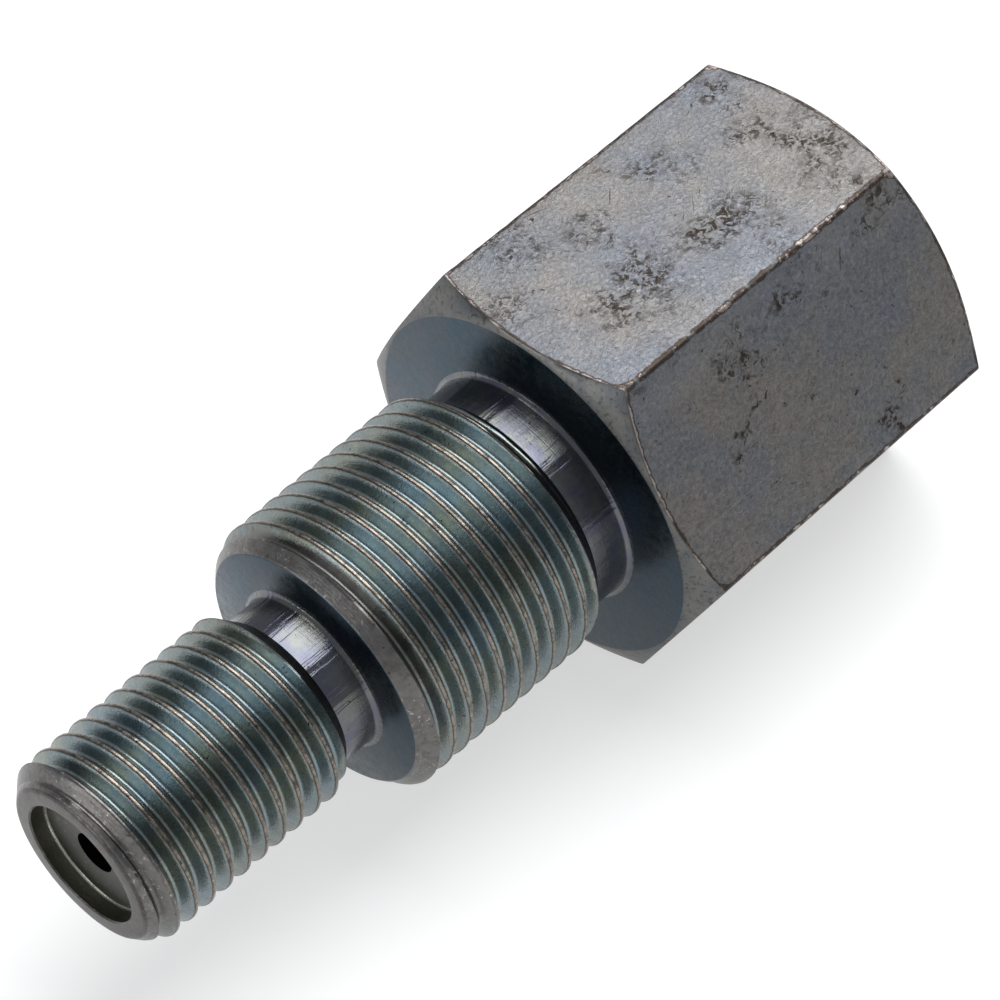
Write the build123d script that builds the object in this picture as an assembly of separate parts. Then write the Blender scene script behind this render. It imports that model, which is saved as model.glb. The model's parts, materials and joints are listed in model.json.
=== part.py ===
from build123d import *
from math import radians, tan
import os

# Test point coupling: one piece turned from hexagon bar, in millimetres.
# +X runs along the axis from the tip face to the port face, +Z is up.
# The origin is the centre of the tip face. The coupling lies on one flat of its hexagon.
# Both threads are plain out to their crests.

# ---- lengths along the axis, each set by itself ----
TIP_THREAD_LENGTH = 17.2     # tip face to the back of the small thread
TIP_NECK_LENGTH = 2.8        # undercut behind the small thread
STUD_THREAD_LENGTH = 17.0    # face of the large thread to its back
STUD_NECK_LENGTH = 3.0       # undercut behind the large thread
HEX_LENGTH = 28.0            # sealing shoulder to port face

# ---- diameters ----
TIP_THREAD_DIA = 13.8        # over the crests of the M14 thread
TIP_FACE_DIA = 11.6          # flat ring left at the tip by its lead chamfer
TIP_NECK_DIA = 11.4
STUD_THREAD_DIA = 19.95      # over the crests of the M20 thread
STUD_FACE_DIA = 17.75        # flat ring left at the stud by its lead chamfer
STUD_NECK_DIA = 17.2
HEX_ACROSS_FLATS = 27.0
SHOULDER_DIA = 26.6          # turned sealing face at the front of the hexagon
PORT_FACE_DIA = 26.6         # turned face at the port end of the hexagon

# ---- chamfers and small radii ----
LEAD_CHAMFER_ANGLE = 45.0    # at the front of each thread, from the axis
BACK_CHAMFER_ANGLE = 45.0    # at the back of each thread, from the axis
HEX_CHAMFER_ANGLE = 30.0     # on the hexagon's corners, from the end face
HEX_EDGE_RADIUS = 0.3        # drawn bar's long edges
NECK_FILLET = 0.4            # at the foot of each neck

# ---- recess, orifice and port ----
RECESS_DIA = 8.9
RECESS_DEPTH = 1.25
ORIFICE_DIA = 3.0            # passage from the recess to the port
PORT_BORE_DIA = 11.8         # bore of the female G 1/4 port
PORT_DEPTH = 15.0            # port face to the end of the full bore
PORT_CHAMFER_DIA = 13.4
PORT_CHAMFER_ANGLE = 45.0    # from the axis
DRILL_POINT_ANGLE = 59.0     # the drill's cone behind the port, from the axis

# ---- stations worked out from the lengths ----
X_TIP = 0.0
X_TIP_BACK = X_TIP + TIP_THREAD_LENGTH
X_STUD = X_TIP_BACK + TIP_NECK_LENGTH
X_STUD_BACK = X_STUD + STUD_THREAD_LENGTH
X_SHOULDER = X_STUD_BACK + STUD_NECK_LENGTH
X_PORT = X_SHOULDER + HEX_LENGTH


def cone_run(large_dia, small_dia, angle):
    """Axial length of a cone between two diameters, its angle taken from the axis."""
    return (large_dia - small_dia) / 2 / tan(radians(angle))


def turned(points):
    """The solid turned by a closed outline of (x, radius) points."""
    return revolve(Plane.XZ * make_face(Polyline(*points, close=True)), Axis.X)


def thread_stretch(x_face, x_back, face_dia, crest_dia, neck_dia):
    """A threaded stretch out to its crests, with a chamfer at each end."""
    x_crest = x_face + cone_run(crest_dia, face_dia, LEAD_CHAMFER_ANGLE)
    x_crest_end = x_back - cone_run(crest_dia, neck_dia, BACK_CHAMFER_ANGLE)
    return turned([(x_face, 0), (x_face, face_dia / 2), (x_crest, crest_dia / 2),
                   (x_crest_end, crest_dia / 2), (x_back, neck_dia / 2), (x_back, 0)])


def neck(x_from, x_to, neck_dia):
    """A plain undercut that flares into the face behind it."""
    r = neck_dia / 2
    foot = Line((x_from, 0), (x_from, r))
    side = Line(foot @ 1, (x_to - NECK_FILLET, r))
    flare = CenterArc((x_to - NECK_FILLET, r + NECK_FILLET), NECK_FILLET, 270, 90)
    end = Line(flare @ 1, (x_to, 0))
    base = Line(end @ 1, foot @ 0)
    return revolve(Plane.XZ * make_face([foot, side, flare, end, base]), Axis.X)


def hexagon():
    """The wrench hexagon, flats up and down, its corners turned off at both ends."""
    section = Plane.YZ * RegularPolygon(HEX_ACROSS_FLATS / 2, 6, major_radius=False)
    bar = extrude(Pos(X_SHOULDER, 0, 0) * section, HEX_LENGTH, dir=(1, 0, 0))
    bar = fillet(bar.edges().filter_by(Axis.X), HEX_EDGE_RADIUS)
    reach = HEX_ACROSS_FLATS   # a radius beyond the corners
    slope = tan(radians(HEX_CHAMFER_ANGLE))
    front = X_SHOULDER + (reach - SHOULDER_DIA / 2) * slope
    back = X_PORT - (reach - PORT_FACE_DIA / 2) * slope
    return bar & turned([(X_SHOULDER, 0), (X_SHOULDER, SHOULDER_DIA / 2), (front, reach),
                         (back, reach), (X_PORT, PORT_FACE_DIA / 2), (X_PORT, 0)])


def waterway():
    """Everything drilled: the tip's recess, the orifice, and the port with its drill cone."""
    x_recess = X_TIP + RECESS_DEPTH
    x_full_bore = X_PORT - PORT_DEPTH
    x_cone = x_full_bore - cone_run(PORT_BORE_DIA, ORIFICE_DIA, DRILL_POINT_ANGLE)
    x_chamfer = X_PORT - cone_run(PORT_CHAMFER_DIA, PORT_BORE_DIA, PORT_CHAMFER_ANGLE)
    return turned([(X_TIP, 0), (X_TIP, RECESS_DIA / 2), (x_recess, RECESS_DIA / 2),
                   (x_recess, ORIFICE_DIA / 2), (x_cone, ORIFICE_DIA / 2),
                   (x_full_bore, PORT_BORE_DIA / 2), (x_chamfer, PORT_BORE_DIA / 2),
                   (X_PORT, PORT_CHAMFER_DIA / 2), (X_PORT, 0)])


def coupling():
    """The whole turned piece."""
    body = hexagon()
    body += neck(X_STUD_BACK, X_SHOULDER, STUD_NECK_DIA)
    body += thread_stretch(X_STUD, X_STUD_BACK, STUD_FACE_DIA, STUD_THREAD_DIA, STUD_NECK_DIA)
    body += neck(X_TIP_BACK, X_STUD, TIP_NECK_DIA)
    body += thread_stretch(X_TIP, X_TIP_BACK, TIP_FACE_DIA, TIP_THREAD_DIA, TIP_NECK_DIA)
    body -= waterway()
    return body


os.makedirs("parts", exist_ok=True)
export_step(coupling(), "parts/coupling_body.step")
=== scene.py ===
"""Looks of the test point coupling: a steel fitting turned from hexagon bar and zinc plated."""
import json
import math

import bpy
import numpy as np
from mathutils import Matrix, Vector, noise


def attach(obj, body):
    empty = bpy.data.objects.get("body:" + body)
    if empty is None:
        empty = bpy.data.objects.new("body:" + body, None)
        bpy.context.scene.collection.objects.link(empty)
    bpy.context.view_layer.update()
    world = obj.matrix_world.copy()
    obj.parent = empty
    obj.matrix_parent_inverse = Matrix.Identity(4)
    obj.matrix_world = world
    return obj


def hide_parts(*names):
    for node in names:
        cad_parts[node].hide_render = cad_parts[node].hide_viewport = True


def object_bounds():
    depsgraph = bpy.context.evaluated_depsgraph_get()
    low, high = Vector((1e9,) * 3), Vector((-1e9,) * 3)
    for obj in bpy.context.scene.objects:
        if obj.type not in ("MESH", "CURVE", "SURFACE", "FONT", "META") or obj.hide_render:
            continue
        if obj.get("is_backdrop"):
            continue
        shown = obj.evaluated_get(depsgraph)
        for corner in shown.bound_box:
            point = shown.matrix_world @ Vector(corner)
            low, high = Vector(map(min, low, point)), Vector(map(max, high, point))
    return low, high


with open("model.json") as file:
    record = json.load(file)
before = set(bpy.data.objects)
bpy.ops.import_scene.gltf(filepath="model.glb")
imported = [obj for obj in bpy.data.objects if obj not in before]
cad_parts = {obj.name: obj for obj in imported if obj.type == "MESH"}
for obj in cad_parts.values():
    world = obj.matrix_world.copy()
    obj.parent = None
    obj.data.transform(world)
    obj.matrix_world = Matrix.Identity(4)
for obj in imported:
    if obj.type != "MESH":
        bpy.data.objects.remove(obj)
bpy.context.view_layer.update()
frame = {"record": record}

MM = 0.001
TURN = 2 * math.pi
THIRTY = math.radians(30)  # half the angle of a hexagon's side, and the lean of a thread's flank

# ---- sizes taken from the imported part, in millimetres ----
mounts = {m["name"]: m for m in frame["record"]["mounts"]}


def radius_of(name):
    return mounts[name]["dims"]["r_mm"]


def station_of(name):
    return mounts[name]["pos_m"][0] / MM


X_TIP = station_of("tip_recess")
X_STUD = station_of("stud_face")
X_SHOULDER = station_of("shoulder")
X_PORT = station_of("port_face")
TIP_CREST = radius_of("tip_thread")
STUD_CREST = radius_of("stud_thread")
RECESS_RADIUS = radius_of("tip_recess")
RECESS_DEPTH = mounts["tip_recess"]["dims"]["length_mm"]
PORT_BORE = radius_of("port")
HALF_FLATS = -mounts["lower_flat"]["pos_m"][2] / MM

# ---- sizes that no mount states, in millimetres, as in the part's source ----
TIP_FACE = 5.8
TIP_NECK = 5.7
STUD_FACE = 8.875
STUD_NECK = 8.6
SHOULDER = 13.3
X_TIP_BACK = X_TIP + 17.2
X_STUD_BACK = X_STUD + 17.0
NECK_FILLET = 0.4
ORIFICE = 1.5
PORT_MOUTH = 6.7
PORT_DEPTH = 15.0
DRILL_ANGLE = math.radians(59)
HEX_CHAMFER = math.radians(30)
HEX_EDGE = 0.3

# ---- thread forms, in millimetres ----
PITCH = 1.5
PORT_PITCH = 1.337
PORT_ROOT = 6.55
PORT_RELIEF = 1.2         # plain bore left behind the port's thread
THREAD_DEPTH = 0.92
ROOT_RADIUS = 0.217
CREST_HALF = 0.095
CREST_BREAK = 0.028       # rounding along each side of a crest
CREST_SLOPE = 0.62        # slope of that rounding
PORT_ROOT_HALF = 0.08     # half the flat of the port thread's root, as a share of its pitch
PORT_FLANK = 0.34         # one flank of it, in the same way
# angles at which a groove lies a whole number of pitches from the origin
TIP_CLOCK = math.radians(318)
STUD_CLOCK = math.radians(2)
PORT_CLOCK = math.radians(40)

# ---- mesh rings and wear, in millimetres ----
SIDES = 132               # columns round the part, before those at the hexagon's edges
SNAP = 0.02               # thread rings closer than this to a stretch's end join it
NOSE = ((0, 0.32), (0.02, 0.2), (0.08, 0.08), (0.16, 0))    # rings of the tip's rounded nose
EDGE_BREAK = 0.1          # at the rims of the recess and of the large thread's face
CORNER_ROUND = 0.14       # at the foot of the recess
CORNER_MID = 0.04         # the middle of that rounding, in from wall and floor
FILLET_STEPS = 4
FLAT_RINGS = 44           # along the hexagon's flats
FADE_RINGS = 3            # over which the knocks on its edges begin and end
RIM = 0.07                # rounding between a flat and its bevel
RIM_DROP = 0.02           # how far that rounding lies under the flat
EDGE_REACH = 0.45         # how far the knocks reach from an edge
FACE_BREAK = 0.06         # at the rim of the hexagon's two turned faces
BEVEL_START = (0.02, 0.03)    # first ring of a bevel: along the axis, and out from the face
RIM_SHARE = 0.9           # share of a bevel before it turns into the flat
SHARP = math.radians(34)  # edges over this angle are drawn sharp
NICK_DEPTH, NICK_FROM, NICK_WAVE = 0.05, 0.28, 0.008        # knocks on the thread crests
KNOCK_DEPTH, KNOCK_FROM, KNOCK_WAVE = 0.2, 0.16, 0.012      # and on the hexagon's edges
# how worn the mesh is marked: along the hexagon's edges, beside its bevels and on their rims
WORN_EDGE, WORN_SIDE, WORN_RIM = 0.86, 0.9, 1.0


# ------------------------------------------------------------------ geometry
def column_angles():
    """Angles of the mesh columns: even steps, with closer ones round each hexagon edge."""
    # half the angle of an edge's rounding, as seen from the axis
    arc = math.degrees(HEX_EDGE * math.tan(THIRTY) * math.cos(THIRTY) / HALF_FLATS)
    close = [-arc, -arc / 2, 0.0, arc / 2, arc]
    corners = [(60 * k) % 360 for k in range(6)]
    even = [360 * k / SIDES for k in range(SIDES)]
    step = 360 / SIDES
    kept = [a for a in even if min(abs((a - c + 180) % 360 - 180) for c in corners) > step / 2]
    extra = [(c + d) % 360 for c in corners for d in close]
    return np.radians(sorted(kept + extra))


ANGLES = column_angles()
COLUMNS = len(ANGLES)


def hexagon_radius(angle):
    """Distance from the axis to the hexagon's outline, its edges rounded."""
    off = math.radians(math.degrees(angle) % 60 - 30)        # from the middle of the flat
    plain = HALF_FLATS / math.cos(off)
    centre = (HALF_FLATS - HEX_EDGE) / math.cos(THIRTY)      # of the rounding
    to_edge = THIRTY - abs(off)
    aside = centre * math.sin(to_edge)
    if aside >= HEX_EDGE:
        return plain
    return min(plain, centre * math.cos(to_edge) + math.sqrt(HEX_EDGE ** 2 - aside ** 2))


def male_thread(across, crest):
    """Radius of a male thread at a distance from the middle of its groove."""
    root = crest - THREAD_DEPTH
    half = PITCH / 2 - CREST_HALF
    if across < ROOT_RADIUS * math.cos(THIRTY):
        return root + ROOT_RADIUS - math.sqrt(ROOT_RADIUS ** 2 - across ** 2)
    if across < half - CREST_BREAK:
        return crest - (half - across) / math.tan(THIRTY)
    return min(crest, crest - CREST_BREAK + (across - half + CREST_BREAK) * CREST_SLOPE)


def nick(x, along):
    """Depth of the small knocks that the crests took, at a place along the axis and round it."""
    rough = noise.noise(Vector((x * 0.9, along * 0.8, 3.0)))
    wave = noise.noise(Vector((x * 0.35, along * 0.15, 9.0)))
    return NICK_DEPTH * max(0.0, rough - NICK_FROM) + NICK_WAVE * (1 + wave)


def male_samples():
    """Where the mesh rings lie across one pitch, measured from the middle of the groove."""
    half = PITCH / 2 - CREST_HALF
    side = [0.065, 0.125, ROOT_RADIUS * math.cos(THIRTY), 0.34, 0.49, half - CREST_BREAK,
            half + CREST_BREAK * 0.8]
    return [0.0] + side + [PITCH / 2] + [PITCH - s for s in reversed(side)]


def port_thread(across):
    """Radius of the port's female thread at a distance from the middle of its groove."""
    slope = (PORT_ROOT - PORT_BORE) / (PORT_PITCH * PORT_FLANK)
    past_root = across - PORT_PITCH * PORT_ROOT_HALF
    return max(PORT_BORE, min(PORT_ROOT, PORT_ROOT - past_root * slope))


def port_samples():
    """The same for the port's thread."""
    return [s * PORT_PITCH for s in (0.0, 0.08, 0.25, 0.42, 0.5, 0.58, 0.75, 0.92)]


class Skin:
    """The part's surface, built ring by ring along its outline."""

    def __init__(self):
        self.points = []
        self.faces = []
        self.zones = []
        self.marks = {"crest": [], "bevel": [], "edge": []}
        self.last = None

    def point(self, x, r, angle, crest=0.0, bevel=0.0, edge=0.0):
        self.points.append((x * MM, r * math.cos(angle) * MM, r * math.sin(angle) * MM))
        for name, value in (("crest", crest), ("bevel", bevel), ("edge", edge)):
            self.marks[name].append(value)
        return len(self.points) - 1

    def face(self, corners, zone):
        kept = [c for k, c in enumerate(corners) if c != corners[k - 1]]
        if len(kept) > 2:
            self.faces.append(kept)
            self.zones.append(zone)

    def ring(self, x, r, zone, edge=0.0):
        """Adds one ring; x, r and edge are numbers or one value for each column."""
        xs = np.broadcast_to(x, COLUMNS)
        rs = np.broadcast_to(r, COLUMNS)
        worn = np.broadcast_to(edge, COLUMNS)
        new = [self.point(xs[j], rs[j], ANGLES[j], edge=worn[j]) for j in range(COLUMNS)]
        self.join(new, zone)
        return new

    def join(self, new, zone):
        """Joins the last ring to a new one."""
        if self.last is not None:
            for j in range(COLUMNS):
                k = (j + 1) % COLUMNS
                self.face([self.last[j], self.last[k], new[k], new[j]], zone)
        self.last = new

    def thread(self, x_end, r_end, pitch, samples, form, clock, zone):
        """A right-hand thread from the last ring to a ring at x_end.

        form(x, across, angle) gives the radius, the share of crest and the share of bevel.
        """
        first = self.last
        x_start = self.points[first[0]][0] / MM
        way = 1 if x_end > x_start else -1
        last = [self.point(x_end, r_end, a) for a in ANGLES]
        per = len(samples)
        # right hand: the groove moves towards +X as the angle grows from +Y to +Z
        shift = [pitch * ((a - clock) / TURN) for a in ANGLES]
        low, high = min(x_start, x_end), max(x_start, x_end)
        turns = range(int((low - max(shift)) // pitch) - 1, int((high - min(shift)) // pitch) + 2)
        spots = [(t, s) for t in turns for s in samples]
        grid = []
        for t, s in spots:
            row = []
            for j, angle in enumerate(ANGLES):
                x = t * pitch + s + shift[j]
                if x <= low + SNAP:
                    row.append(first[j] if way > 0 else last[j])
                elif x >= high - SNAP:
                    row.append(last[j] if way > 0 else first[j])
                else:
                    r, crest, bevel = form(x, min(s, pitch - s), angle)
                    row.append(self.point(x, r, angle, crest=crest, bevel=bevel))
            grid.append(row)
        count = len(spots)
        for i in range(count - 1):
            for j in range(COLUMNS):
                k = (j + 1) % COLUMNS
                # after a full turn the groove is one pitch further on
                a, b = (i, i + 1) if k else (i + per, i + 1 + per)
                a, b = min(a, count - 1), min(b, count - 1)
                quad = [grid[i][j], grid[a][k], grid[b][k], grid[i + 1][j]]
                self.face(quad if way > 0 else quad[::-1], zone)
        self.last = last

    def mesh(self, name, zones):
        mesh = bpy.data.meshes.new(name)
        mesh.from_pydata(self.points, [], self.faces)
        for zone in zones:
            mesh.materials.append(zones[zone])
        order = {zone: k for k, zone in enumerate(zones)}
        mesh.polygons.foreach_set("material_index", [order[z] for z in self.zones])
        for label, values in self.marks.items():
            layer = mesh.attributes.new(label, "FLOAT", "POINT")
            layer.data.foreach_set("value", values)
        mesh.polygons.foreach_set("use_smooth", [True] * len(self.faces))
        mesh.update()
        mesh.set_sharp_from_angle(angle=SHARP)
        return mesh


def coupling_skin():
    """The whole part: inside of the tip, small thread, stud, hexagon, port and passage."""
    skin = Skin()
    start = skin.ring(X_TIP + RECESS_DEPTH, ORIFICE, "passage")
    skin.ring(X_TIP + RECESS_DEPTH, RECESS_RADIUS - CORNER_ROUND, "recess_base_painted_shade")
    skin.ring(X_TIP + RECESS_DEPTH - CORNER_MID, RECESS_RADIUS - CORNER_MID, "recess_foot_painted_highlight")
    skin.ring(X_TIP + RECESS_DEPTH - CORNER_ROUND, RECESS_RADIUS, "recess_foot_painted_highlight")
    skin.ring(X_TIP + EDGE_BREAK, RECESS_RADIUS, "recess_side_painted_reflection")
    skin.ring(X_TIP, RECESS_RADIUS + EDGE_BREAK, "tip_face")
    for back, inwards in NOSE:
        skin.ring(X_TIP + back, TIP_FACE - inwards, "tip_face")
    male_stretch(skin, X_TIP_BACK, TIP_FACE, TIP_CREST, TIP_NECK, TIP_CLOCK)
    neck(skin, X_STUD, TIP_NECK)
    skin.ring(X_STUD, STUD_FACE - EDGE_BREAK, "turned_face")
    skin.ring(X_STUD + EDGE_BREAK / 2, STUD_FACE, "turned_face")
    male_stretch(skin, X_STUD_BACK, STUD_FACE, STUD_CREST, STUD_NECK, STUD_CLOCK)
    neck(skin, X_SHOULDER, STUD_NECK)
    hexagon(skin)
    port(skin)
    skin.join(start, "passage")
    return skin


def male_stretch(skin, x_back, r_face, crest, r_neck, clock):
    """A threaded stretch with a 45 degree chamfer at each end."""
    x_face = skin.points[skin.last[0]][0] / MM
    root = crest - THREAD_DEPTH

    def form(x, across, angle):
        thread = male_thread(across, crest)
        high = (thread - root) / THREAD_DEPTH
        thread -= nick(x, crest * angle) * max(0.0, high)
        cone = min(r_face + (x - x_face), r_neck + (x_back - x))
        return min(thread, cone), high, 1.0 if cone < thread else 0.0

    skin.thread(x_back, r_neck, PITCH, male_samples(), form, clock, "thread")


def neck(skin, x_to, r):
    """A plain undercut that flares into the face behind it."""
    skin.ring(x_to - NECK_FILLET, r, "neck")
    for k in range(1, FILLET_STEPS + 1):
        a = math.radians(90 * k / FILLET_STEPS)
        skin.ring(x_to - NECK_FILLET + NECK_FILLET * math.sin(a),
                  r + NECK_FILLET * (1 - math.cos(a)), "neck")


def hexagon(skin):
    """Front face, corner bevels, flats with knocked edges, corner bevels and port face."""
    outline = np.array([hexagon_radius(a) for a in ANGLES])
    run = (outline - SHOULDER) * math.tan(HEX_CHAMFER)
    turning = SHOULDER + (outline - SHOULDER) * RIM_SHARE
    corner = np.array([1.0 if corner_distance(a) < EDGE_REACH else 0.0 for a in ANGLES])
    inwards, outwards = BEVEL_START
    skin.ring(X_SHOULDER, SHOULDER - FACE_BREAK, "turned_face")
    skin.ring(X_SHOULDER + inwards, SHOULDER + outwards, "chamfer")
    skin.ring(X_SHOULDER + run * RIM_SHARE, turning, "chamfer")
    skin.ring(X_SHOULDER + run + RIM / 2, outline - RIM_DROP, "chamfer", edge=WORN_RIM)
    skin.ring(X_SHOULDER + run + RIM * 2, outline, "flat", edge=WORN_SIDE)
    x_start, x_end = X_SHOULDER + run + RIM * 2, X_PORT - run - RIM * 2
    for k in range(1, FLAT_RINGS):
        x = x_start + (x_end - x_start) * k / FLAT_RINGS
        fade = min(1.0, k / FADE_RINGS, (FLAT_RINGS - k) / FADE_RINGS)
        knocks = [edge_knock(x[j], ANGLES[j]) * corner[j] * fade for j in range(COLUMNS)]
        skin.ring(x, outline - np.array(knocks), "flat", edge=corner * WORN_EDGE)
    skin.ring(x_end, outline, "flat", edge=WORN_SIDE)
    skin.ring(X_PORT - run - RIM / 2, outline - RIM_DROP, "flat", edge=WORN_RIM)
    skin.ring(X_PORT - run * RIM_SHARE, turning, "chamfer")
    skin.ring(X_PORT - inwards, SHOULDER + outwards, "chamfer")
    skin.ring(X_PORT, SHOULDER - FACE_BREAK, "turned_face")


def corner_distance(angle):
    """Distance along the outline from an angle to the nearest edge of the hexagon."""
    off = (math.degrees(angle) + 30) % 60 - 30
    return abs(math.radians(off)) * HALF_FLATS / math.cos(THIRTY)


def edge_knock(x, angle):
    """How far the knocks on a hexagon edge reach in at a place along it."""
    side = round(math.degrees(angle) / 60) % 6
    dent = noise.noise(Vector((x * 0.7, side * 5.3, 1.7)))
    ripple = noise.noise(Vector((x * 2.1, side * 3.1, 6.4)))
    return KNOCK_DEPTH * max(0.0, dent - KNOCK_FROM) + KNOCK_WAVE * (1 + ripple)


def port(skin):
    """The female port with its chamfer, thread, plain end and drill cone."""
    skin.ring(X_PORT, PORT_MOUTH, "turned_face")
    x_bore = X_PORT - PORT_DEPTH
    x_thread = x_bore + PORT_RELIEF

    def form(x, across, angle):
        mouth = PORT_MOUTH - (X_PORT - x)
        end = PORT_BORE + (x - x_thread)
        return max(PORT_BORE, mouth, min(port_thread(across), end)), 0.0, 0.0

    skin.thread(x_thread, PORT_BORE, PORT_PITCH, port_samples(), form, PORT_CLOCK, "port")
    skin.ring(x_bore, PORT_BORE, "port")
    skin.ring(x_bore - (PORT_BORE - ORIFICE) / math.tan(DRILL_ANGLE), ORIFICE, "port")


# ------------------------------------------------------------------ materials
class Nodes:
    """Short calls for building a node material."""

    def __init__(self, name):
        self.material = bpy.data.materials.new(name)
        self.material.use_nodes = True
        self.tree = self.material.node_tree
        self.shader = self.tree.nodes["Principled BSDF"]
        place = self.node("ShaderNodeTexCoord")
        scaled = self.node("ShaderNodeVectorMath", operation="SCALE")
        scaled.inputs["Scale"].default_value = 1 / MM
        self.link(place.outputs["Object"], scaled.inputs[0])
        self.mm = scaled.outputs[0]
        split = self.node("ShaderNodeSeparateXYZ")
        self.link(self.mm, split.inputs[0])
        self.x, self.y, self.z = split.outputs
        self.radius = self.math("SQRT", self.sum(self.product(self.y, self.y),
                                                 self.product(self.z, self.z)))
        self.turn = self.math("ARCTAN2", self.z, self.y)

    def node(self, kind, **settings):
        made = self.tree.nodes.new(kind)
        for key, value in settings.items():
            setattr(made, key, value)
        return made

    def link(self, a, b):
        self.tree.links.new(a, b)

    def feed(self, value, socket):
        if isinstance(value, bpy.types.NodeSocket):
            self.link(value, socket)
        else:
            socket.default_value = value

    def math(self, operation, a, b=0.0, c=0.0):
        made = self.node("ShaderNodeMath", operation=operation)
        for value, socket in zip((a, b, c), made.inputs):
            self.feed(value, socket)
        return made.outputs[0]

    def vector(self, x, y, z):
        made = self.node("ShaderNodeCombineXYZ")
        for value, socket in zip((x, y, z), made.inputs):
            self.feed(value, socket)
        return made.outputs[0]

    def product(self, a, b):
        return self.math("MULTIPLY", a, b)

    def sum(self, a, b):
        return self.math("ADD", a, b)

    def noise(self, scale, detail=3.0, rough=0.55, at=None, distort=0.0):
        """Noise about 0.5; scale is in waves a millimetre unless another place is given."""
        made = self.node("ShaderNodeTexNoise")
        self.link(at or self.mm, made.inputs["Vector"])
        made.inputs["Scale"].default_value = scale
        made.inputs["Detail"].default_value = detail
        made.inputs["Roughness"].default_value = rough
        made.inputs["Distortion"].default_value = distort
        return made.outputs["Fac"]

    def patches(self, low, high, *waves, most=1.0, distort=0.0):
        """Share that is 0 where the noise is under low and most where it is over high."""
        return self.step(self.noise(*waves, distort=distort), low, high, 0.0, most)

    def wander(self, size, *waves):
        """Noise about 0, its strength given by size."""
        return self.product(self.math("SUBTRACT", self.noise(*waves), 0.5), size)

    def step(self, value, low, high, out_low=0.0, out_high=1.0):
        """A smooth way from out_low, at and under low, to out_high."""
        made = self.node("ShaderNodeMapRange", interpolation_type="SMOOTHSTEP")
        for key, given in (("Value", value), ("From Min", low), ("From Max", high),
                           ("To Min", out_low), ("To Max", out_high)):
            self.feed(given, made.inputs[key])
        return made.outputs["Result"]

    def mix(self, share, a, b):
        made = self.node("ShaderNodeMix", data_type="RGBA")
        self.feed(share, made.inputs["Factor"])
        self.feed(a, made.inputs["A"])
        self.feed(b, made.inputs["B"])
        return made.outputs["Result"]

    def attribute(self, name):
        made = self.node("ShaderNodeAttribute", attribute_name=name)
        return made.outputs["Fac"]

    def stretched(self, along, round_, out):
        """Place in cylinder axes: along the axis, round it and away from it, each scaled."""
        return self.vector(self.product(self.x, along), self.product(self.turn, round_),
                           self.product(self.radius, out))

    def bump(self, height, distance, strength=1.0, under=None):
        made = self.node("ShaderNodeBump")
        made.inputs["Strength"].default_value = strength
        made.inputs["Distance"].default_value = distance * MM
        self.link(height, made.inputs["Height"])
        if under is not None:
            self.link(under, made.inputs["Normal"])
        return made.outputs["Normal"]

    def done(self, color, rough, normal):
        """The finished metal."""
        self.feed(color, self.shader.inputs["Base Color"])
        self.feed(rough, self.shader.inputs["Roughness"])
        self.shader.inputs["Metallic"].default_value = 1.0
        self.link(normal, self.shader.inputs["Normal"])
        return self.material


def srgb(r, g, b):
    """A colour given as it looks on screen, 0 to 255."""
    def line(c):
        c /= 255
        return c / 12.92 if c <= 0.04045 else ((c + 0.055) / 1.055) ** 2.4
    return (line(r), line(g), line(b), 1.0)


def thread_finish():
    """Blue-green film in the grooves, brown rubbed crests, grey chamfers; pale specks on crests
    and chamfers are painted glints.
    """
    n = Nodes("zinc_thread")
    blue, green, deep, pale = (srgb(114, 128, 134), srgb(122, 127, 119), srgb(94, 110, 118),
                               srgb(158, 160, 154))
    film = n.mix(n.patches(0.3, 0.7, 0.22), blue, green)
    film = n.mix(n.patches(0.45, 0.75, 1.0, 4, 0.6, most=0.5), film, deep)
    film = n.mix(n.patches(0.48, 0.7, 6.0, 4, 0.65, most=0.4), film, pale)

    high = n.sum(n.attribute("crest"), n.wander(0.16, 2.2, 4, 0.6))
    dirt = n.mix(n.noise(4.0), srgb(48, 43, 41), srgb(76, 70, 66))
    color = n.mix(n.step(high, 0.88, 0.95), film, dirt)
    worn = n.noise(1.0, 4, 0.75, at=n.stretched(1.5, 12.0, 1.0))
    rubbed = n.mix(n.step(worn, 0.36, 0.56), srgb(92, 85, 78), srgb(130, 121, 111))
    # painted glints: small pale spots over the rubbed crests' real wear
    rubbed = n.mix(n.patches(0.6, 0.7, 8.0, 2), rubbed, srgb(164, 156, 148))
    color = n.mix(n.step(high, 0.96, 1.01), color, rubbed)
    specks = n.product(n.patches(0.64, 0.7, 4.0), n.patches(0.48, 0.6, 0.4, 2))
    color = n.mix(specks, color, srgb(28, 26, 26))

    bevel = n.mix(n.patches(0.35, 0.7, 1.4, 5, 0.65), srgb(106, 104, 103), srgb(88, 85, 83))
    bevel = n.mix(n.patches(0.6, 0.7, 2.6, 4, 0.7), bevel, srgb(58, 52, 49))
    # painted glints: pale specks on the chamfers at the thread ends
    painted_glints = n.product(n.patches(0.57, 0.66, 3.4, 5, 0.75), n.patches(0.44, 0.58, 0.5))
    bevel = n.mix(painted_glints, bevel, srgb(168, 167, 165))
    end = end_share(n)
    color = n.mix(end, color, bevel)

    grit = n.bump(n.noise(5.0, 4, 0.65), 0.025, 0.7)
    drag = n.bump(n.noise(1.0, at=n.stretched(12.0, 2.0, 12.0)), 0.02, 0.5, under=grit)
    rough = n.step(n.noise(0.8), 0.3, 0.7, 0.2, 0.32)
    rough = n.math("MAXIMUM", rough, n.step(end, 0.2, 0.8, 0.0, 0.3))
    return n.done(color, rough, drag)


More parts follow.
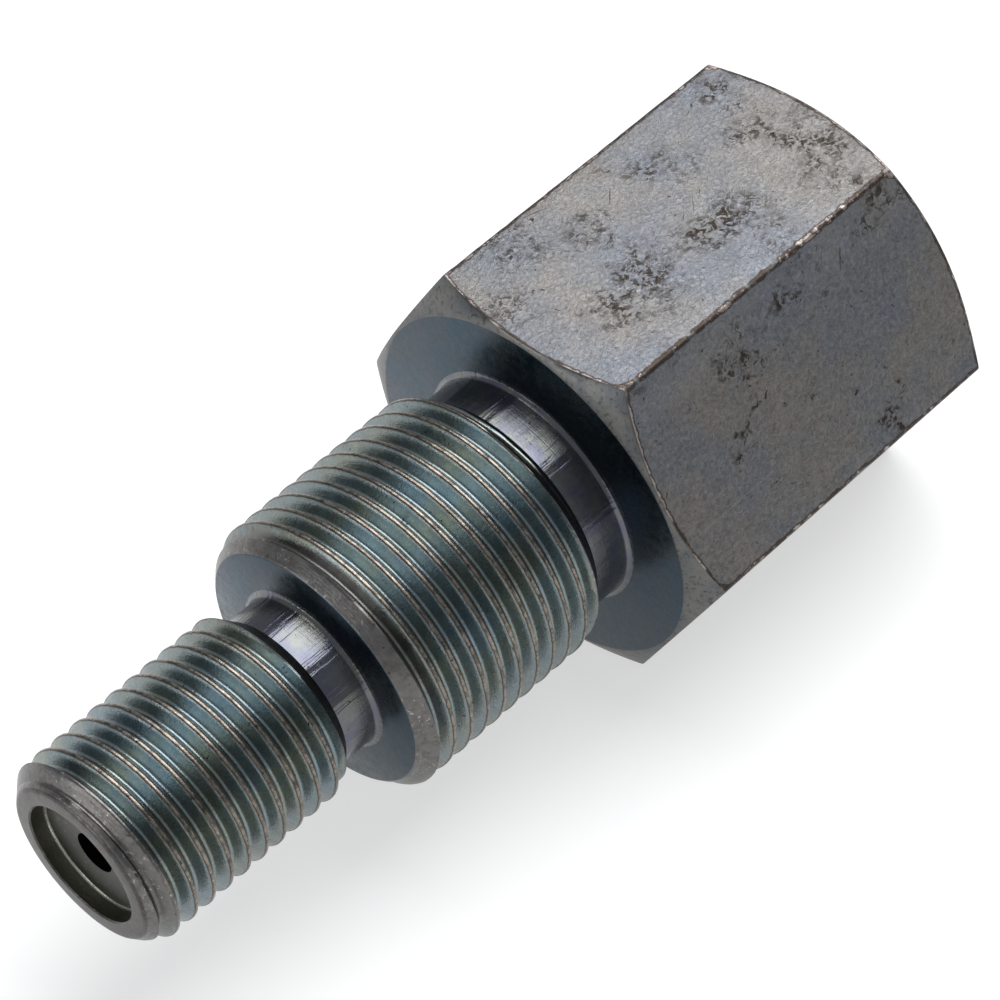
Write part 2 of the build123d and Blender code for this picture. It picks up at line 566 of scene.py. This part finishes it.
def end_share(n):
    """1 on the chamfers of both threads, and fading out over each thread's first turn."""
    wander = n.wander(1.2, 1.4)
    share = n.attribute("bevel")
    for x_front, r_over in ((X_TIP, 0.0), (X_STUD, TIP_CREST + 0.5)):
        past = n.sum(n.math("SUBTRACT", n.x, x_front), wander)
        near = n.step(past, 1.3, 2.1, 1.0, 0.0)
        outside = n.math("GREATER_THAN", n.radius, r_over)
        ahead = n.math("GREATER_THAN", n.x, x_front - 0.5)
        share = n.math("MAXIMUM", share, n.product(near, n.product(outside, ahead)))
    return share


def neck_finish():
    """Polished undercut with fine turning rings and sharp streaks along the axis."""
    n = Nodes("zinc_neck")
    color = n.mix(n.patches(0.35, 0.65, 0.6, 4, 0.6), srgb(90, 92, 104), srgb(102, 104, 102))
    color = n.mix(n.patches(0.66, 0.74, 3.0), color, srgb(52, 50, 50))
    rings = n.noise(1.0, 4, at=n.stretched(22.0, 0.8, 22.0))
    streaks = n.noise(1.0, 3, 0.6, at=n.stretched(0.15, 13.0, 0.0))
    normal = n.bump(n.noise(7.0), 0.012, 0.5)
    normal = n.bump(rings, 0.012, 0.5, under=normal)
    normal = n.bump(n.step(streaks, 0.35, 0.65), 0.022, 0.7, under=normal)
    return n.done(color, n.step(n.noise(2.5), 0.3, 0.7, 0.12, 0.2), normal)


def face_finish():
    """Turned faces, dark blue under the passivation, with rings round the axis."""
    n = Nodes("zinc_turned_face")
    color = n.mix(n.patches(0.35, 0.65, 0.25), srgb(50, 67, 79), srgb(60, 69, 76))
    color = n.mix(n.patches(0.5, 0.7, 2.0, 4, 0.65, most=0.3), color, srgb(80, 86, 90))
    rings = n.noise(1.0, at=n.stretched(6.0, 0.5, 14.0))
    rough = n.step(n.noise(1.5), 0.3, 0.7, 0.2, 0.32)
    return n.done(color, rough, n.bump(rings, 0.012, 0.5))


def chamfer_finish():
    """Matte grey corner bevels of the hexagon, with dirt."""
    n = Nodes("zinc_bevel")
    color = n.mix(n.patches(0.35, 0.65, 0.7, 4, 0.6), srgb(92, 94, 96), srgb(106, 105, 103))
    color = n.mix(n.patches(0.52, 0.68, 3.0, 4, 0.65, most=0.7), color, srgb(56, 53, 50))
    return n.done(color, 0.42, n.bump(n.noise(4.0, 4), 0.03, 0.6))


def tip_finish():
    """Grey nose, scuffed."""
    n = Nodes("zinc_tip")
    color = n.mix(n.patches(0.35, 0.65, 1.2, 5, 0.65), srgb(82, 80, 79), srgb(66, 62, 60))
    color = n.mix(n.patches(0.55, 0.7, 6.0, 3, 0.6, most=0.5), color, srgb(112, 108, 104))
    return n.done(color, 0.32, n.bump(n.noise(4.0, 4), 0.03, 0.6))


def recess_finish(name, light, dark, rough):
    """Clouded metal of the recess and the port, between two tones, with dirt and pale specks that
    are painted glints.
    """
    n = Nodes(name)
    color = n.mix(n.noise(0.9, 4), dark, light)
    color = n.mix(n.patches(0.58, 0.72, 3.5, 4, 0.6, most=0.6), color, srgb(56, 53, 46))
    # painted glints: pale specks
    painted_glints = n.product(n.patches(0.58, 0.66, 4.4, 5, 0.75), n.patches(0.46, 0.6, 0.4))
    color = n.mix(painted_glints, color, srgb(160, 156, 138))
    return n.done(color, rough, n.bump(n.noise(5.0, 4), 0.03, 0.6))


def passage_painted_shade_finish():
    """The passage, coloured near black inside: painted shade in the narrow bore."""
    n = Nodes("zinc_passage_painted_shade")
    color = n.mix(n.noise(1.0), srgb(14, 14, 14), srgb(34, 32, 30))
    return n.done(color, 0.6, n.bump(n.noise(3.0), 0.03, 0.5))


def flat_finish():
    """Drawn flats: wrinkled grain, faint clouds, pits that are most at the hexagon's top, scuffs,
    and painted light that makes the top a little lighter.
    """
    n = Nodes("zinc_flat")
    color = n.mix(n.patches(0.36, 0.64, 0.13, 4), srgb(94, 98, 106), srgb(110, 106, 102))
    color = n.mix(n.patches(0.4, 0.7, 0.8, 5, 0.65, most=0.3), color, srgb(84, 84, 86))
    grain = n.noise(3.4, 5, 0.7, distort=0.6)
    color = n.mix(n.step(grain, 0.45, 0.68, 0, 0.45), color, srgb(134, 132, 130))
    color = n.mix(n.step(grain, 0.36, 0.46, 0.4, 0), color, srgb(70, 68, 67))
    top_light_and_pits = n.step(n.z, 10.0, 12.0)
    # painted light: the top of the hexagon is made a little lighter, where the overhead light
    # falls
    color = n.mix(n.product(top_light_and_pits, 0.11), color, srgb(156, 157, 160))

    where = n.step(n.noise(0.24, 4, 0.65), n.math("SUBTRACT", 0.6, n.product(top_light_and_pits, 0.13)), 0.66)
    pitted = n.noise(1.8, 5, 0.7, distort=1.0)
    color = n.mix(n.product(where, n.step(pitted, 0.46, 0.55)), color, srgb(50, 44, 39))
    color = n.mix(n.patches(0.68, 0.73, 1.5, 3, distort=1.0), color, srgb(54, 47, 42))
    color = n.mix(scratches(n), color, srgb(60, 54, 50))
    color = n.mix(n.product(drawn_lines(n), 0.4), color, srgb(128, 128, 130))

    worn = n.sum(n.attribute("edge"), n.product(n.noise(1.3, 5, 0.7), 0.8))
    color = n.mix(n.step(worn, 1.08, 1.24), color, srgb(64, 57, 53))
    scuffed = n.product(n.step(worn, 1.26, 1.36), n.patches(0.44, 0.56, 0.32, 3, 0.6))
    color = n.mix(scuffed, color, srgb(158, 147, 142))

    normal = n.bump(grain, 0.06, 0.9)
    normal = n.bump(n.product(where, pitted), 0.08, 0.5, under=normal)
    return n.done(color, n.step(n.noise(1.0, 4), 0.3, 0.7, 0.34, 0.46), normal)


def drawn_lines(n):
    """Thin lines that the drawing die left along the flats."""
    line = n.step(n.noise(1.0, 1, 0.5, at=n.stretched(0.006, 34.0, 0.0)), 0.72, 0.75)
    return n.product(line, n.patches(0.4, 0.6, 0.25))


def scratches(n):
    """A few thin lines across the flats, each family leaning its own way."""
    families = []
    for lean, shift in ((0.9, 0.0), (-0.35, 17.0)):
        along = n.sum(n.x, n.product(n.y, lean))
        across = n.math("SUBTRACT", n.y, n.product(n.x, lean))
        at = n.vector(n.product(along, 0.12), n.product(across, 3.2),
                      n.sum(n.product(n.z, 0.12), shift))
        line = n.step(n.noise(1.0, 2, 0.5, at=at), 0.73, 0.76)
        families.append(n.product(line, n.patches(0.5, 0.55, 0.3, 2)))
    return n.math("MAXIMUM", *families)


# ------------------------------------------------------------------ the piece
finishes = {
    "thread": thread_finish(),
    "neck": neck_finish(),
    "turned_face": face_finish(),
    "chamfer": chamfer_finish(),
    "tip_face": tip_finish(),
    # painted reflection: the side of the recess, also used in the port, is coloured lighter than
    # its floor
    "recess_side_painted_reflection": recess_finish("zinc_recess_side_painted_reflection", light=srgb(122, 120, 108),
                                 dark=srgb(98, 97, 88), rough=0.34),
    # painted highlight: the rounded foot of the recess is coloured far lighter than its side, a
    # bright ring
    "recess_foot_painted_highlight": recess_finish("zinc_recess_foot_painted_highlight", light=srgb(210, 208, 200),
                                   dark=srgb(170, 168, 160), rough=0.26),
    # painted shade: the floor at the bottom of the recess is coloured darker than its side
    "recess_base_painted_shade": recess_finish("zinc_recess_base_painted_shade", light=srgb(88, 89, 84),
                                  dark=srgb(72, 73, 68), rough=0.4),
    "passage": passage_painted_shade_finish(),
    "flat": flat_finish(),
}
finishes["port"] = finishes["recess_side_painted_reflection"]

coupling = bpy.data.objects.new("coupling", coupling_skin().mesh("coupling", finishes))
bpy.context.scene.collection.objects.link(coupling)
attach(coupling, "root")
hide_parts("coupling_body")


# ------------------------------------------------------------------ floor, light and camera
FLOOR_HALF = 3.0          # metres
FLOOR_GREY = 0.46
FLOOR_GLOW = 0.58         # for camera, glossy and transmission rays only
ROOM_COLOR = (0.92, 0.96, 1.0, 1)
ROOM_STRENGTH = 0.42
LAMP_DISTANCE = 0.9       # metres

LENS, SENSOR = 145.0, 36
AIM = Vector((2.90, -0.27, 1.53))      # from the middle of the part, in millimetres
HEADING = math.radians(41.964)         # from +Y turning towards +X
DOWN = math.radians(48.686)
ROLL = math.radians(5.922)
CAMERA_DISTANCE = 0.25902              # metres


def white_floor():
    """A floor that looks white and keeps the part's shadow."""
    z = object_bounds()[0][2]
    h = FLOOR_HALF
    mesh = bpy.data.meshes.new("floor")
    mesh.from_pydata([(-h, -h, z), (h, -h, z), (h, h, z), (-h, h, z)], [], [(0, 1, 2, 3)])
    floor = bpy.data.objects.new("floor", mesh)
    bpy.context.scene.collection.objects.link(floor)
    material = bpy.data.materials.new("floor_white")
    material.use_nodes = True
    tree = material.node_tree
    tree.nodes.clear()
    out = tree.nodes.new("ShaderNodeOutputMaterial")
    plain = tree.nodes.new("ShaderNodeBsdfDiffuse")
    plain.inputs["Color"].default_value = (FLOOR_GREY, FLOOR_GREY, FLOOR_GREY, 1)
    glow = tree.nodes.new("ShaderNodeEmission")
    add = tree.nodes.new("ShaderNodeAddShader")
    seen = seen_directly(tree)
    strength = tree.nodes.new("ShaderNodeMath")
    strength.operation = "MULTIPLY"
    strength.inputs[1].default_value = FLOOR_GLOW
    tree.links.new(seen, strength.inputs[0])
    tree.links.new(strength.outputs[0], glow.inputs["Strength"])
    tree.links.new(plain.outputs[0], add.inputs[0])
    tree.links.new(glow.outputs[0], add.inputs[1])
    tree.links.new(add.outputs[0], out.inputs["Surface"])
    mesh.materials.append(material)
    floor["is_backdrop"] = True


def seen_directly(tree):
    """1 for camera, glossy and transmission rays, else 0."""
    path = tree.nodes.new("ShaderNodeLightPath")
    value = path.outputs["Is Camera Ray"]
    for other in ("Is Glossy Ray", "Is Transmission Ray"):
        more = tree.nodes.new("ShaderNodeMath")
        more.operation = "MAXIMUM"
        tree.links.new(value, more.inputs[0])
        tree.links.new(path.outputs[other], more.inputs[1])
        value = more.outputs[0]
    return value


def studio_world():
    """A dim room, a little blue."""
    world = bpy.data.worlds.new("studio")
    bpy.context.scene.world = world
    world.use_nodes = True
    tree = world.node_tree
    back = tree.nodes["Background"]
    back.inputs["Color"].default_value = ROOM_COLOR
    back.inputs["Strength"].default_value = ROOM_STRENGTH


def middle_of_part():
    low, high = (Vector(c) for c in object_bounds())
    return (low + high) / 2


def soft_lamp(name, azimuth, elevation, size, power):
    """A white softbox aimed at the part. Azimuth 0 is -Y, turning towards +X."""
    data = bpy.data.lights.new(name, "AREA")
    data.shape = "RECTANGLE"
    data.size, data.size_y = size
    data.energy = power
    lamp = bpy.data.objects.new(name, data)
    bpy.context.scene.collection.objects.link(lamp)
    a, e = math.radians(azimuth), math.radians(elevation)
    way = Vector((math.sin(a) * math.cos(e), -math.cos(a) * math.cos(e), math.sin(e)))
    lamp.location = middle_of_part() + way * LAMP_DISTANCE
    lamp.rotation_euler = (-way).to_track_quat("-Z", "Y").to_euler()


def photo_camera():
    """Looks down at the part from its tip end, as the photo does."""
    data = bpy.data.cameras.new("camera")
    data.sensor_width = SENSOR
    data.lens = LENS
    data.clip_start = 0.01
    camera = bpy.data.objects.new("camera", data)
    bpy.context.scene.collection.objects.link(camera)
    forward = Vector((math.sin(HEADING) * math.cos(DOWN), math.cos(HEADING) * math.cos(DOWN),
                      -math.sin(DOWN)))
    right = forward.cross(Vector((0, 0, 1))).normalized()
    up = right.cross(forward)
    turn = Matrix.Rotation(ROLL, 3, forward)
    basis = Matrix((turn @ right, turn @ up, -forward)).transposed().to_4x4()
    basis.translation = middle_of_part() + AIM * MM - forward * CAMERA_DISTANCE
    camera.matrix_world = basis
    bpy.context.scene.camera = camera


white_floor()
studio_world()
soft_lamp("overhead", azimuth=100, elevation=63, size=(0.95, 0.8), power=11)
soft_lamp("left", azimuth=-105, elevation=9, size=(0.6, 0.26), power=1.6)
photo_camera()

bpy.context.scene.view_settings.view_transform = "Standard"
